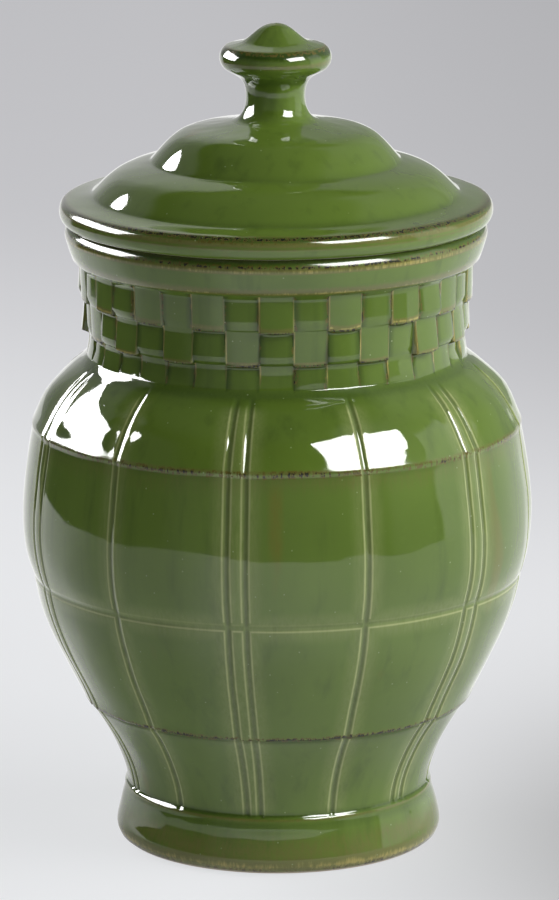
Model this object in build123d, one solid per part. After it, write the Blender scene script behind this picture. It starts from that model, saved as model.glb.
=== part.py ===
from build123d import *
import os
from math import hypot

# A lidded biscuit jar of glazed stoneware: a bellied body with a basket-weave neck band, a lid with a
# two-step dome and a locating skirt, and a turned knob luted on top of the lid.
# Millimetres, +Z up, origin at the centre of the foot on the surface it stands on, front towards -Y.
# Every outline is a list of (radius, height) points. A stretch of four points is one cubic curve: its
# two ends and the two handles between them.

# Jar body, outside
FOOT_BOTTOM_R = 55.0
FOOT_BULGE = (58.4, 5.0)
FOOT_CREASE = (54.5, 20.0)
LOWER_RIDGE = (69.2, 52.5)
EQUATOR = (87.2, 97.8)
SHOULDER_RIDGE = (87.2, 151.8)
NECK_BASE = (66.4, 177.0)
NECK_TOP = (70.9, 211.0)
RIM_RING = (72.4, 212.0)
RIM_ARRIS = (74.8, 220.0)
RIM_Z = 224.5
RIM_TOP_R = 72.0

FOOT_ARRIS = ((FOOT_BOTTOM_R, 0.0), (57.4, 0.2), (58.3, 2.6), FOOT_BULGE)
FOOT_SIDE = (FOOT_BULGE, (57.7, 10.0), (56.4, 14.0), FOOT_CREASE)
WAIST = (FOOT_CREASE, (53.5, 28.0), (62.6, 45.3), LOWER_RIDGE)
LOWER_BELLY = (LOWER_RIDGE, (76.2, 67.5), (84.7, 81.0), EQUATOR)
UPPER_BELLY = (EQUATOR, (94.0, 117.5), (88.8, 133.0), SHOULDER_RIDGE)
SHOULDER = (SHOULDER_RIDGE, (82.3, 162.6), (78.0, 169.5), NECK_BASE)
NECK = (NECK_BASE, (67.9, 188.3), (69.4, 199.7), NECK_TOP)
RIM_BAND = (RIM_RING, (73.2, 214.5), (74.0, 217.0), RIM_ARRIS)
RIM_ROUND = (RIM_ARRIS, (74.9, 222.6), (74.0, RIM_Z), (RIM_TOP_R, RIM_Z))

# Jar body, inside and underneath
WALL = 5.5
FLOOR_Z = 9.0
FLOOR_R = 36.0
FLOOR_FILLET = (46.0, 13.0)
MOUTH_R = 65.4
MOUTH_LIP = 1.2
MOUTH_LOW_Z = 213.0
FOOT_RING_INNER_R = 47.0
FOOT_RECESS_DEPTH = 3.0

# Incised lines: a single and a double line in turn down the belly, and one line round the equator
LINE_REPEATS = 6
FIRST_SINGLE_DEG = 20.3
FIRST_DOUBLE_DEG = 50.8
DOUBLE_LINE_GAP_DEG = 4.2
LINE_WIDTH = 1.7
LINE_DEPTH = 0.8
LINE_TOP_Z = 174.0
RING_RADIUS = 1.1
CUTTER_R = 98.0

# Basket weave round the neck: blocks that stand proud in turn, like a chequerboard
WEAVE_COLUMNS = 36
WEAVE_COLUMN_DEG = 360.0 / WEAVE_COLUMNS
WEAVE_ROW_Z = (176.2, 186.0, 198.3, 211.0)
WEAVE_BLOCK_DEG = 10.4
WEAVE_SINK = 1.0
WEAVE_TOP_PROUD = 0.5
WEAVE_EDGE_PROUD = 1.4
WEAVE_FLARE_PROUD = 0.8
WEAVE_HANDLE = 3.0

# Lid
LID_WALL = 5.0
LUTE_Z = 260.4
DOME_TOP_R = 14.0
DOME_CREASE = (44.4, 245.9)
FLANGE_CREASE = (65.3, 234.2)
FLANGE_ARRIS = (74.0, 232.5)
FLANGE_EDGE = (76.7, 228.3)
FLANGE_UNDER_R = 74.2
SKIRT_R = 63.8
SKIRT_INNER_R = 58.8
SKIRT_DEPTH = 9.0
SKIRT_CHAMFER = 1.0

LOWER_DOME = (FLANGE_CREASE, (58.0, 241.2), (57.3, 242.9), DOME_CREASE)
UPPER_DOME = (DOME_CREASE, (32.8, 259.7), (33.8, 256.0), (DOME_TOP_R, LUTE_Z))
FLANGE_TOP = (FLANGE_ARRIS, (71.4, 232.9), (67.6, 233.2), FLANGE_CREASE)
FLANGE_ROUND = (FLANGE_EDGE, (76.7, 230.6), (76.1, 232.0), FLANGE_ARRIS)
FLANGE_BELOW = ((FLANGE_UNDER_R, RIM_Z), (75.4, 224.6), (76.6, 226.4), FLANGE_EDGE)

# Knob
KNOB_FOOT_R = 14.0
KNOB_FOOT_EDGE = 0.5
STEM_TOP = (11.3, 273.6)
DISC_LOW = (19.2, 280.3)
DISC_HIGH = (17.8, 286.6)
CONE_BASE = (11.9, 288.1)
KNOB_TIP_Z = 294.6

STEM = ((KNOB_FOOT_R, LUTE_Z + KNOB_FOOT_EDGE), (10.2, 261.2), (9.3, 269.0), STEM_TOP)
DISC_UNDER = (STEM_TOP, (13.2, 277.5), (17.8, 277.2), DISC_LOW)
DISC_EDGE = (DISC_LOW, (20.0, 281.8), (20.3, 284.5), DISC_HIGH)
DISC_TOP = (DISC_HIGH, (17.0, 287.1), (15.1, 287.1), CONE_BASE)
CONE = (CONE_BASE, (8.2, 289.8), (5.7, KNOB_TIP_Z), (0.0, KNOB_TIP_Z))

FRONT_DEG = -90.0


def direction(start, end):
    """Unit direction from one (radius, height) point to another."""
    length = hypot(end[0] - start[0], end[1] - start[1])
    return ((end[0] - start[0]) / length, (end[1] - start[1]) / length)


def shifted(point, shift):
    return (point[0] + shift[0], point[1] + shift[1])


def inset_chain(stretches, wall):
    """The stretches moved inwards by the wall, square to the curve, and still joined end to end."""
    starts = [direction(s[0], s[1]) for s in stretches]
    ends = [direction(s[2], s[3]) for s in stretches]
    tangents = [starts[0]]
    tangents += [direction((0, 0), shifted(a, b)) for a, b in zip(ends, starts[1:])]
    tangents.append(ends[-1])
    shifts = [(-wall * t[1], wall * t[0]) for t in tangents]
    return [
        (shifted(s[0], a), shifted(s[1], a), shifted(s[2], b), shifted(s[3], b))
        for s, a, b in zip(stretches, shifts, shifts[1:])
    ]


def turned(edges):
    """Solid of revolution about +Z of a closed outline of (radius, height) edges."""
    return revolve(Plane.XZ * make_face(Wire(edges)), Axis.Z)


def corner_line(*points):
    """Straight edges through the points, in order."""
    return [Line(a, b) for a, b in zip(points, points[1:])]


def jar_outline():
    """Closed outline of the plain jar, from the axis under the foot, up the outside, down the inside."""
    inside = inset_chain([WAIST, LOWER_BELLY, UPPER_BELLY, SHOULDER, NECK], WALL)
    inside_top = inside[-1][3]
    inside_bottom = inside[0][0]
    edges = corner_line(
        (0, FOOT_RECESS_DEPTH),
        (FOOT_RING_INNER_R - FOOT_RECESS_DEPTH, FOOT_RECESS_DEPTH),
        (FOOT_RING_INNER_R, 0),
        (FOOT_BOTTOM_R, 0),
    )
    edges += [Bezier(*s) for s in (FOOT_ARRIS, FOOT_SIDE, WAIST, LOWER_BELLY)]
    edges += [Bezier(*s) for s in (UPPER_BELLY, SHOULDER, NECK)]
    edges.append(Line(NECK_TOP, RIM_RING))
    edges += [Bezier(*s) for s in (RIM_BAND, RIM_ROUND)]
    edges += corner_line(
        (RIM_TOP_R, RIM_Z),
        (MOUTH_R + MOUTH_LIP, RIM_Z),
        (MOUTH_R, RIM_Z - MOUTH_LIP),
        (MOUTH_R, MOUTH_LOW_Z),
        inside_top,
    )
    edges += [Bezier(*s) for s in inside]
    low_handle = (inside_bottom[0], FLOOR_FILLET[1])
    edges.append(Bezier(inside_bottom, low_handle, (FLOOR_FILLET[0], FLOOR_Z), (FLOOR_R, FLOOR_Z)))
    edges += corner_line((FLOOR_R, FLOOR_Z), (0, FLOOR_Z), (0, FOOT_RECESS_DEPTH))
    return edges


def line_cutter():
    """A thin upright blade that follows the outside of the jar and bites into it by the line's depth."""
    chain = inset_chain([WAIST, LOWER_BELLY, UPPER_BELLY, SHOULDER], LINE_DEPTH)
    top = chain[-1][3]
    bottom = chain[0][0]
    edges = [Bezier(*s) for s in chain]
    edges += corner_line(top, (top[0], LINE_TOP_Z), (CUTTER_R, LINE_TOP_Z), (CUTTER_R, bottom[1]), bottom)
    return extrude(Plane.XZ * make_face(Wire(edges)), amount=LINE_WIDTH / 2, both=True)


def ring_cutter(point):
    """A round bead that presses a shallow ring into the wall at a (radius, height) point."""
    return Pos(0, 0, point[1]) * Torus(point[0] + RING_RADIUS - LINE_DEPTH, RING_RADIUS)


def line_angles():
    """Angles of the incised lines from the front, in degrees."""
    half_gap = DOUBLE_LINE_GAP_DEG / 2
    one_repeat = [FIRST_SINGLE_DEG, FIRST_DOUBLE_DEG - half_gap, FIRST_DOUBLE_DEG + half_gap]
    turns = [index * 360.0 / LINE_REPEATS for index in range(LINE_REPEATS)]
    return [angle + turn for turn in turns for angle in one_repeat]


def neck_radius(height):
    share = (height - NECK_BASE[1]) / (NECK_TOP[1] - NECK_BASE[1])
    return NECK_BASE[0] + share * (NECK_TOP[0] - NECK_BASE[0])


def weave_block(low_z, high_z):
    """One raised block of the weave: sloped at its top, flaring to a crisp edge at its foot."""
    low_r = neck_radius(low_z)
    high_r = neck_radius(high_z)
    face = Bezier(
        (low_r + WEAVE_EDGE_PROUD, low_z),
        (low_r + WEAVE_FLARE_PROUD, low_z + WEAVE_HANDLE),
        (high_r + WEAVE_FLARE_PROUD, high_z - WEAVE_HANDLE),
        (high_r + WEAVE_TOP_PROUD, high_z),
    )
    back = corner_line(
        (high_r + WEAVE_TOP_PROUD, high_z),
        (high_r - WEAVE_SINK, high_z),
        (low_r - WEAVE_SINK, low_z),
        (low_r + WEAVE_EDGE_PROUD, low_z),
    )
    block = revolve(Plane.XZ * make_face(Wire([face] + back)), Axis.Z, revolution_arc=WEAVE_BLOCK_DEG)
    return Rot(0, 0, FRONT_DEG - WEAVE_BLOCK_DEG / 2) * block


def make_jar_body():
    jar = turned(jar_outline())
    blade = line_cutter()
    jar -= [Rot(0, 0, FRONT_DEG + angle) * blade for angle in line_angles()]
    jar -= ring_cutter(EQUATOR)
    jar -= ring_cutter((LOWER_RIDGE[0], LOWER_RIDGE[1] - RING_RADIUS))
    for row, (low_z, high_z) in enumerate(zip(WEAVE_ROW_Z, WEAVE_ROW_Z[1:])):
        block = weave_block(low_z, high_z)
        columns = range(row % 2, WEAVE_COLUMNS, 2)
        jar += [Rot(0, 0, column * WEAVE_COLUMN_DEG) * block for column in columns]
    return jar


def make_lid():
    """Lid: hollow two-step dome, flange that rests on the jar's rim, skirt that locates in its mouth."""
    inside = inset_chain([LOWER_DOME, UPPER_DOME], LID_WALL)
    inside_rim = inside[0][0]
    inside_top = inside[-1][3]
    skirt_z = RIM_Z - SKIRT_DEPTH
    edges = [Bezier(*s) for s in inside]
    edges += corner_line(
        inside_top,
        (0, inside_top[1]),
        (0, LUTE_Z),
        (DOME_TOP_R, LUTE_Z),
    )
    edges += [Bezier(*s) for s in (UPPER_DOME, LOWER_DOME, FLANGE_TOP, FLANGE_ROUND, FLANGE_BELOW)]
    edges += corner_line(
        (FLANGE_UNDER_R, RIM_Z),
        (SKIRT_R, RIM_Z),
        (SKIRT_R, skirt_z + SKIRT_CHAMFER),
        (SKIRT_R - SKIRT_CHAMFER, skirt_z),
        (SKIRT_INNER_R + SKIRT_CHAMFER, skirt_z),
        (SKIRT_INNER_R, skirt_z + SKIRT_CHAMFER),
        (SKIRT_INNER_R, RIM_Z),
        inside_rim,
    )
    return turned(edges)


def make_knob():
    """Knob: flared stem with a flat foot that sits on the dome, rounded disc, domed cone on top."""
    edges = corner_line(
        (0, KNOB_TIP_Z),
        (0, LUTE_Z),
        (KNOB_FOOT_R, LUTE_Z),
        (KNOB_FOOT_R, LUTE_Z + KNOB_FOOT_EDGE),
    )
    edges += [Bezier(*s) for s in (STEM, DISC_UNDER, DISC_EDGE, DISC_TOP, CONE)]
    return turned(edges)


def main():
    os.makedirs("parts", exist_ok=True)
    for name, make in (("jar_body", make_jar_body), ("lid", make_lid), ("knob", make_knob)):
        piece = make()
        piece.label = name
        export_step(piece, f"parts/{name}.step")


if __name__ == "__main__":
    main()
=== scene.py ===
import math
from functools import reduce

import bpy
import numpy as np
from bpy.props import FloatProperty, FloatVectorProperty, PointerProperty
from mathutils import Matrix, Vector


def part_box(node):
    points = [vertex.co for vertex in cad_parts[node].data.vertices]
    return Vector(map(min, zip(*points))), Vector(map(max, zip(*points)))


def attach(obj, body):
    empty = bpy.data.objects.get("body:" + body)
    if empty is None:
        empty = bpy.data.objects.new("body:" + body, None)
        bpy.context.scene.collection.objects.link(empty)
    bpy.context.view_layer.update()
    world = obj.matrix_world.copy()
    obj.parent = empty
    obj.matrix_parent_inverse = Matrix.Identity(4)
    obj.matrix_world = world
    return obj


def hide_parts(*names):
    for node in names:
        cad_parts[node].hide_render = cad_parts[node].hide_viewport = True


bl_info = {
    "name": "Biscuit Jar",
    "version": (1, 0, 0),
    "blender": (4, 5, 0),
    "location": "View3D > Sidebar > Biscuit Jar",
    "description": "Glazed stoneware biscuit jar with a woven neck band, lid and knob",
    "category": "Add Mesh",
}

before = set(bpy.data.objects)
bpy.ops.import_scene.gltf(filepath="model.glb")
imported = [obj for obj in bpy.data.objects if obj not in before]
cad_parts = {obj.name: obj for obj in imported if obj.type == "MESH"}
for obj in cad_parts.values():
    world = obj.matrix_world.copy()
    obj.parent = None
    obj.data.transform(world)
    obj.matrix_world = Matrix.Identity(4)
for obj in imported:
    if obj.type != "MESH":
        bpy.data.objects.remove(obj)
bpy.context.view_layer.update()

# Outlines as (radius, height) in millimetres, the same as those of the solids.
# Four points are one cubic curve: its two ends and the two handles between them.
FOOT_INNER_R = 47.0
FOOT_RECESS = 3.0
FOOT_BOTTOM_R = 55.0
FOOT_BULGE = (58.4, 5.0)
FOOT_CREASE = (54.5, 20.0)
LOWER_RIDGE = (69.2, 52.5)
EQUATOR = (87.2, 97.8)
SHOULDER_RIDGE = (87.2, 151.8)
NECK_BASE = (66.4, 177.0)
NECK_TOP = (70.9, 211.0)
RIM_RING = (72.4, 212.0)
RIM_ARRIS = (74.8, 220.0)
RIM_Z = 224.5
RIM_TOP_R = 72.0
MOUTH_R = 65.4
MOUTH_LIP = 1.2
WALL = 5.5
FLOOR_Z = 9.0
FLOOR_R = 36.0
FILLET_R = 46.0
FILLET_Z = 13.0

FOOT_ARRIS = ((FOOT_BOTTOM_R, 0.0), (57.4, 0.2), (58.3, 2.6), FOOT_BULGE)
FOOT_SIDE = (FOOT_BULGE, (57.7, 10.0), (56.4, 14.0), FOOT_CREASE)
WAIST = (FOOT_CREASE, (53.5, 28.0), (62.6, 45.3), LOWER_RIDGE)
LOWER_BELLY = (LOWER_RIDGE, (76.2, 67.5), (84.7, 81.0), EQUATOR)
UPPER_BELLY = (EQUATOR, (94.0, 117.5), (88.8, 133.0), SHOULDER_RIDGE)
SHOULDER = (SHOULDER_RIDGE, (82.3, 162.6), (78.0, 169.5), NECK_BASE)
NECK = (NECK_BASE, (67.9, 188.3), (69.4, 199.7), NECK_TOP)
RIM_BAND = (RIM_RING, (73.2, 214.5), (74.0, 217.0), RIM_ARRIS)
RIM_ROUND = (RIM_ARRIS, (74.9, 222.6), (74.0, RIM_Z), (RIM_TOP_R, RIM_Z))

LID_WALL = 5.0
LUTE_Z = 260.4
DOME_TOP_R = 14.0
DOME_CREASE = (44.4, 245.9)
FLANGE_CREASE = (65.3, 234.2)
FLANGE_ARRIS = (74.0, 232.5)
FLANGE_EDGE = (76.7, 228.3)
FLANGE_UNDER = (74.2, RIM_Z)
SKIRT_R = 63.8
SKIRT_INNER_R = 58.8
SKIRT_Z = RIM_Z - 9.0
LOWER_DOME = (FLANGE_CREASE, (58.0, 241.2), (57.3, 242.9), DOME_CREASE)
UPPER_DOME = (DOME_CREASE, (32.8, 259.7), (33.8, 256.0), (DOME_TOP_R, LUTE_Z))
FLANGE_TOP = (FLANGE_ARRIS, (71.4, 232.9), (67.6, 233.2), FLANGE_CREASE)
FLANGE_ROUND = (FLANGE_EDGE, (76.7, 230.6), (76.1, 232.0), FLANGE_ARRIS)
FLANGE_BELOW = (FLANGE_UNDER, (75.4, 224.6), (76.6, 226.4), FLANGE_EDGE)

KNOB_FOOT = (15.8, LUTE_Z - 0.35)
STEM_TOP = (11.3, 273.6)
DISC_LOW = (19.2, 280.3)
DISC_HIGH = (17.8, 286.6)
CONE_BASE = (11.9, 288.1)
KNOB_TIP = (0.0, 294.6)
STEM = (KNOB_FOOT, (10.5, 260.9), (9.3, 269.0), STEM_TOP)
DISC_UNDER = (STEM_TOP, (13.2, 277.5), (17.8, 277.2), DISC_LOW)
DISC_EDGE = (DISC_LOW, (20.0, 281.8), (20.3, 284.5), DISC_HIGH)
DISC_TOP = (DISC_HIGH, (17.0, 287.1), (15.1, 287.1), CONE_BASE)
CONE = (CONE_BASE, (8.2, 289.8), (5.7, KNOB_TIP[1]), KNOB_TIP)

# Metres in one millimetre of these outlines, from the height of the frame's jar
UNIT = (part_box("jar_body")[1].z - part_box("jar_body")[0].z) / RIM_Z

# Incised lines: six turns of a single and a double line. Angles and half gaps are in degrees, and the
# half gap grows by WAIST_GAP over GAP_OPENS mm below the equator.
LINE_TURNS = 6
SINGLE_LINE = 20.3
DOUBLE_LINE = 50.8
HALF_GAP = 2.1
WAIST_GAP = 0.4
GAP_OPENS = 60.0
LINE_HALF_WIDTH = 0.88
LINE_FOOT = 19.2
LINE_TOP = 174.0
ACROSS_LINE = (-1.75, -1.2, -0.92, -0.6, -0.3, 0.0, 0.3, 0.6, 0.92, 1.2, 1.75)

# Basket weave: rows from one height to the next, and the heights at which a cell's slope changes.
# Columns are in degrees from the middle of a cell, and a block's width is in degrees.
WEAVE_CELLS = 36
WEAVE_COLUMN = 360.0 / WEAVE_CELLS
WEAVE_BLOCK = 10.4
WEAVE_ROWS = (176.2, 186.0, 198.3, 211.0)
WEAVE_KINKS = (183.9, 189.1, 196.3, 201.5, 209.0)
ACROSS_CELL = (-4.6, -4.35, -2.9, 0.0, 2.9, 4.35, 4.6, 4.85, 5.15)
BLOCK_FLAT = 0.16
SUNK_DEPTH = 1.3
SUNK_FLARE = 1.65

# Relief of the foot: rise, height and spread in mm
FOOT_ROLL = (0.75, 16.9, 2.0)
FOOT_HOLLOW = (-0.9, 10.8, 3.4)
FOOT_LIP = (0.6, 19.5, 1.0)
FOOT_GROOVE = (-0.35, 20.8, 1.0)

# Rings of thin, rusty and pooled glaze round the jar, and one ring of painted shade on the rim under the lid:
# strength, height in mm and spread in mm.
# The height of the ones named after a ridge is counted along the wall from the ridge.
THIN_RINGS = (
    (0.90, 220.1, 0.45),
    (0.70, 220.9, 0.7),
    (0.85, 211.9, 0.4),
    (0.75, 3.0, 3.0),
    (0.48, 19.1, 0.7),
    (0.36, 9.0, 6.5),
)
THIN_SHOULDER = ((0.35, 1.1, 0.9), (0.24, -3.0, 7.0))
THIN_LOWER = ((0.30, 1.0, 0.8),)
RUST_RINGS = ((1.05, 221.9, 0.9), (0.45, 211.2, 0.35), (0.75, 1.2, 1.6))
RUST_SHOULDER = ((0.74, 0.2, 1.7),)
RUST_LOWER = ((1.05, 0.2, 1.4),)
# Pooled glaze at and below the foot crease and at the neck's base; the last ring, on the rim's top just under
# the lid's flange, is painted shade between lid and jar.
POOL_AND_SHADE_RINGS = ((0.75, 20.7, 0.7), (0.4, 17.7, 0.7), (0.55, 175.3, 1.6), (0.90, 223.4, 1.3))

# Waves of the unevenness: count round the wall, pitch up the wall in mm and share
WAVES = ((3, 31.0, 0.30), (7, 47.0, 0.22), (11, 23.0, 0.18), (17, -37.0, 0.16), (23, 17.0, 0.14))

LID_COLUMNS = 256
KNOB_COLUMNS = 128


# Curves and grids


def cubic(p0, p1, p2, p3, steps=300):
    """One cubic curve: (1-t)^3 p0 + 3(1-t)^2 t p1 + 3(1-t) t^2 p2 + t^3 p3, for t from 0 to 1."""
    t = np.linspace(0.0, 1.0, steps)[:, None]
    p0, p1, p2, p3 = (np.asarray(p, float) for p in (p0, p1, p2, p3))
    return (1 - t) ** 3 * p0 + 3 * (1 - t) ** 2 * t * p1 + 3 * (1 - t) * t**2 * p2 + t**3 * p3


def bell(x):
    """exp(-x^2): 1 in the middle, near 0 beyond 2."""
    return np.exp(-np.square(x))


def ease(x):
    """3x^2 - 2x^3 between 0 and 1, flat outside."""
    x = np.clip(x, 0.0, 1.0)
    return x * x * (3.0 - 2.0 * x)


def unit(vector):
    return vector / np.hypot(*vector)


def most(masks):
    """The largest of the masks at each point."""
    return reduce(np.maximum, masks)


def ring_bell(place, rise, middle, spread):
    """rise times bell((place - middle) / spread)."""
    return rise * bell((place - middle) / spread)


def rings_at(place, rings):
    """One mask for each ring of (strength, middle, spread)."""
    return [ring_bell(place, *ring) for ring in rings]


def fading(distance, rise, length):
    """rise at a distance of 0, less by e times for each length away."""
    return rise * np.exp(-np.abs(distance) / length)


def inset(stretches, wall):
    """The joined curves moved inwards: each end and the handle beside it goes by the wall, square to the
    mean direction of the two curves that meet there."""
    curves = [np.asarray(s, float) for s in stretches]
    starts = [unit(c[1] - c[0]) for c in curves]
    ends = [unit(c[3] - c[2]) for c in curves]
    along = [starts[0], *(unit(a + b) for a, b in zip(ends, starts[1:])), ends[-1]]
    shifts = [np.array([-wall * t[1], wall * t[0]]) for t in along]
    moved = zip(curves, shifts, shifts[1:])
    return [np.array([c[0] + a, c[1] + a, c[2] + b, c[3] + b]) for c, a, b in moved]


class Outline:
    """A path of (radius, height) from the axis to the axis with the clay on its left. The path is cut into
    even steps, and each point is then the mean of its neighbours under a bell curve, which melts corners as
    glaze does. The outward normal of the direction (a, b) is (b, -a)."""

    STEP = 0.05

    def __init__(self, parts, melt):
        points = np.vstack([np.atleast_2d(np.asarray(p, float)) for p in parts])
        run = np.hypot(*np.diff(points, axis=0).T)
        points = points[np.r_[True, run > 1e-9]]
        length = np.r_[0.0, np.cumsum(np.hypot(*np.diff(points, axis=0).T))]
        self.s = np.linspace(0.0, length[-1], int(length[-1] / self.STEP))
        half = int(4 * melt / self.STEP)
        weight = bell(np.arange(-half, half + 1) * self.STEP / melt)
        weight /= weight.sum()
        melted = []
        for column, mirror in ((0, -1.0), (1, 1.0)):
            line = np.interp(self.s, length, points[:, column])
            line = np.r_[mirror * line[half:0:-1], line, mirror * line[-2 : -half - 2 : -1]]
            melted.append(np.convolve(line, weight, "valid"))
        self.r, self.z = melted
        self.r[[0, -1]] = 0.0
        tangent = np.gradient(self.r), np.gradient(self.z)
        size = np.hypot(*tangent)
        self.nr, self.nz = tangent[1] / size, -tangent[0] / size

    def at(self, point):
        """Distance along the path of the place nearest to a (radius, height) point."""
        return self.s[np.argmin((self.r - point[0]) ** 2 + (self.z - point[1]) ** 2)]

    def rows(self, marks, hidden, fine, coarse):
        """Row places. Rows per millimetre are fine on the outside, coarse where hidden, plus strength times
        bell((s - mark) / spread) at each mark; the places cut the running total into equal shares."""
        density = np.full_like(self.s, fine)
        for start, end in hidden:
            density[(self.s >= start) & (self.s <= end)] = coarse
        for point, spread, strength in marks:
            density += strength * bell((self.s - self.at(point)) / spread)
        total = np.r_[0.0, np.cumsum(0.5 * (density[1:] + density[:-1]) * np.diff(self.s))]
        return np.interp(np.linspace(0.0, total[-1], int(total[-1])), total, self.s)

    def sample(self, places):
        return [np.interp(places, self.s, line)[:, None] for line in (self.r, self.z, self.nr, self.nz)]


def turned_skin(name, radius, height, angles, maps):
    """Closed mesh of a (rows, columns) grid: x = r sin a, y = -r cos a, z = h, with one point for each of
    the two end rows, which lie on the axis. maps are (rows, columns) values kept as point attributes."""
    rows, columns = radius.shape
    turn = np.radians(angles)[None, :]
    ring = np.stack([radius * np.sin(turn), -radius * np.cos(turn), height], axis=-1)
    ends = np.array([[0.0, 0.0, height[0, 0]], [0.0, 0.0, height[-1, 0]]])
    points = np.vstack([ring[1:-1].reshape(-1, 3), ends]) * UNIT
    index = np.arange((rows - 2) * columns).reshape(rows - 2, columns)
    here, beside = index, np.roll(index, -1, axis=1)
    quads = np.stack([here[:-1], beside[:-1], beside[1:], here[1:]], axis=-1).reshape(-1, 4)
    low_pole, high_pole = len(points) - 2, len(points) - 1
    below = np.stack([beside[0], here[0], np.full(columns, low_pole)], axis=-1)
    above = np.stack([here[-1], beside[-1], np.full(columns, high_pole)], axis=-1)
    mesh = bpy.data.meshes.new(name)
    mesh.from_pydata(points.tolist(), [], quads.tolist() + below.tolist() + above.tolist())
    mesh.update()
    mesh.shade_smooth()
    for key, values in maps.items():
        values = np.broadcast_to(values, radius.shape)
        flat = np.r_[values[1:-1].ravel(), values[0, 0], values[-1, 0]]
        layer = mesh.attributes.new(key, "FLOAT", "POINT")
        layer.data.foreach_set("value", flat.astype(np.float32))
    piece = bpy.data.objects.new(name, mesh)
    bpy.context.scene.collection.objects.link(piece)
    return piece


def wobble(angles, height, size, phase):
    """Soft unevenness of a hand-turned wall: a sum of slanted sine waves, each with its count round the
    wall, its pitch up the wall in mm, minus where it slants the other way, and its share."""
    a = np.radians(angles)[None, :]
    return size * sum(
        share * np.sin(turns * a + height / (pitch / (2 * math.pi)) + phase * turns)
        for turns, pitch, share in WAVES
    )


# The jar's relief


def line_angles(height):
    """Angle of each incised line at each height. The two lines of a double line stand apart by twice the
    half gap, which opens towards the waist."""
    gap = HALF_GAP + WAIST_GAP * ease((EQUATOR[1] - height[:, None]) / GAP_OPENS)
    turns = np.arange(LINE_TURNS) * 360.0 / LINE_TURNS
    single = np.broadcast_to(SINGLE_LINE + turns, (len(height), LINE_TURNS))
    return np.concatenate([single, DOUBLE_LINE + turns - gap, DOUBLE_LINE + turns + gap], axis=1)


def jar_columns():
    """Column angles: close together at the edges of the weave's blocks and across each incised line."""
    cells = np.arange(WEAVE_CELLS)[:, None] * WEAVE_COLUMN
    cell_columns = cells + np.array(ACROSS_CELL)
    turns = np.arange(LINE_TURNS)[:, None] * 360.0 / LINE_TURNS
    across = np.array(ACROSS_LINE)
    singles = turns + SINGLE_LINE + across
    doubles = turns + DOUBLE_LINE + np.concatenate([across[:9] - 2.15, [0.0], across[2:] + 2.15])
    angles = np.sort(np.concatenate([x.ravel() for x in (cell_columns, singles, doubles)]) % 360.0)
    return angles[np.r_[True, np.diff(angles) > 0.17]]


def turned_from(angles, middle):
    """Degrees from the middle to each angle, between -180 and 180."""
    return (angles[None, :] - middle + 180.0) % 360.0 - 180.0


def incised(angles, radius, height):
    """Distances in millimetres, at every grid point, to the nearest incised line."""
    lines = line_angles(height)
    apart = (angles[None, :, None] - lines[:, None, :] + 180.0) % 360.0 - 180.0
    return np.radians(np.abs(apart).min(axis=2)) * radius


def scatter(cell, row, kind):
    """An even spread of numbers from 0 to 1, one for each cell of a row."""
    return np.modf(np.abs(np.sin(cell * 12.9898 + row * 78.233 + kind * 37.719)) * 4375.85)[0]


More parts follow.
